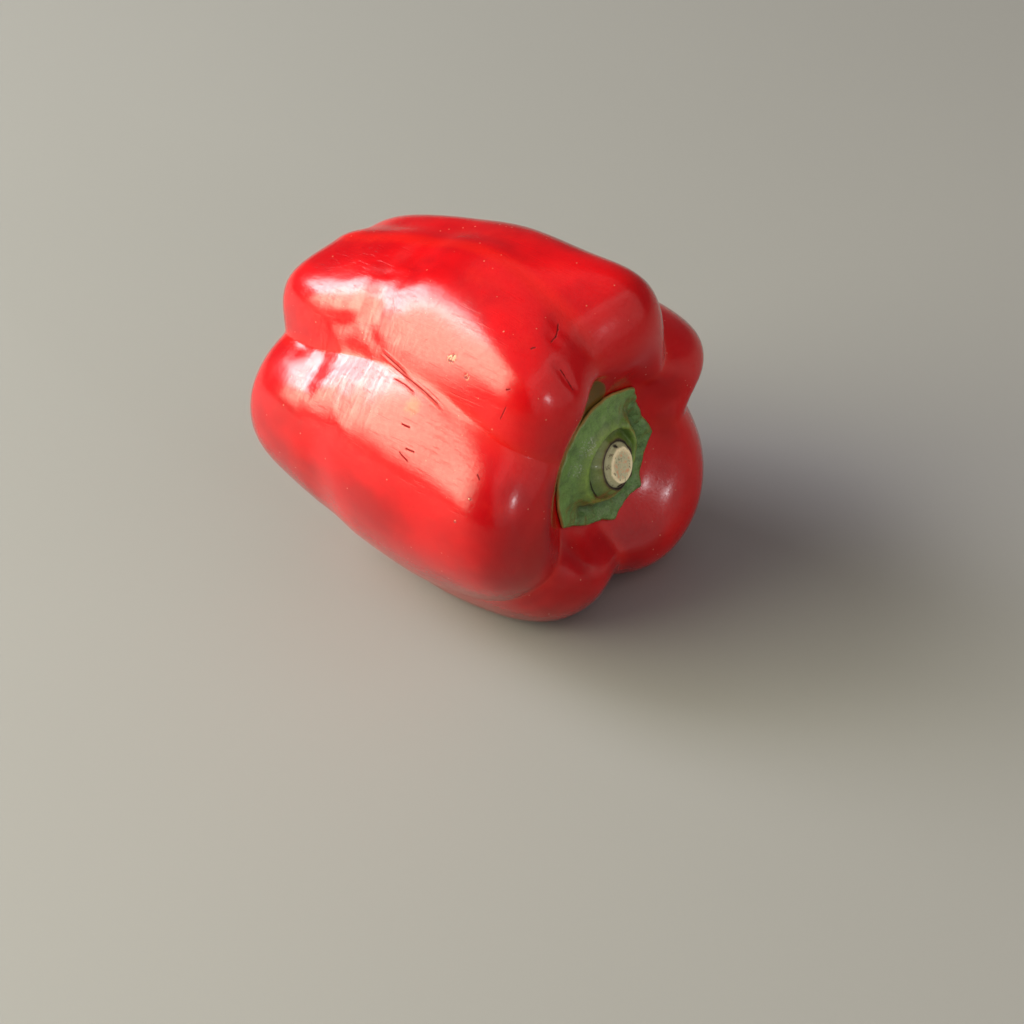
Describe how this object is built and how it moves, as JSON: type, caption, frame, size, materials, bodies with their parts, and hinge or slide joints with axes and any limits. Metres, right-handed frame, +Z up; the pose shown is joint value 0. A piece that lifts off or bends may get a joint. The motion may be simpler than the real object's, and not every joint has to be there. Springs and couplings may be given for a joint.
{
  "type": "bell pepper",
  "caption": "Blocky lobed bell pepper lying on its side, with a star-shaped green calyx and a short cut stem stub.",
  "frame": {"origin": "on the surface that the pepper lies on, under the centre of its bounding box", "axes": "+Z up, +X along the pepper's own axis towards the stem end, +Y across it"},
  "size_m": [0.0872, 0.0828, 0.0824],
  "materials": {
    "pepper_skin": "smooth waxy red skin, glossy",
    "calyx_green": "leathery green, satin, with a pale corky cut on the stem"
  },
  "bodies": {
    "root": {"fruit": "pepper_skin", "calyx_stem": "calyx_green"}
  },
  "joints": []
}
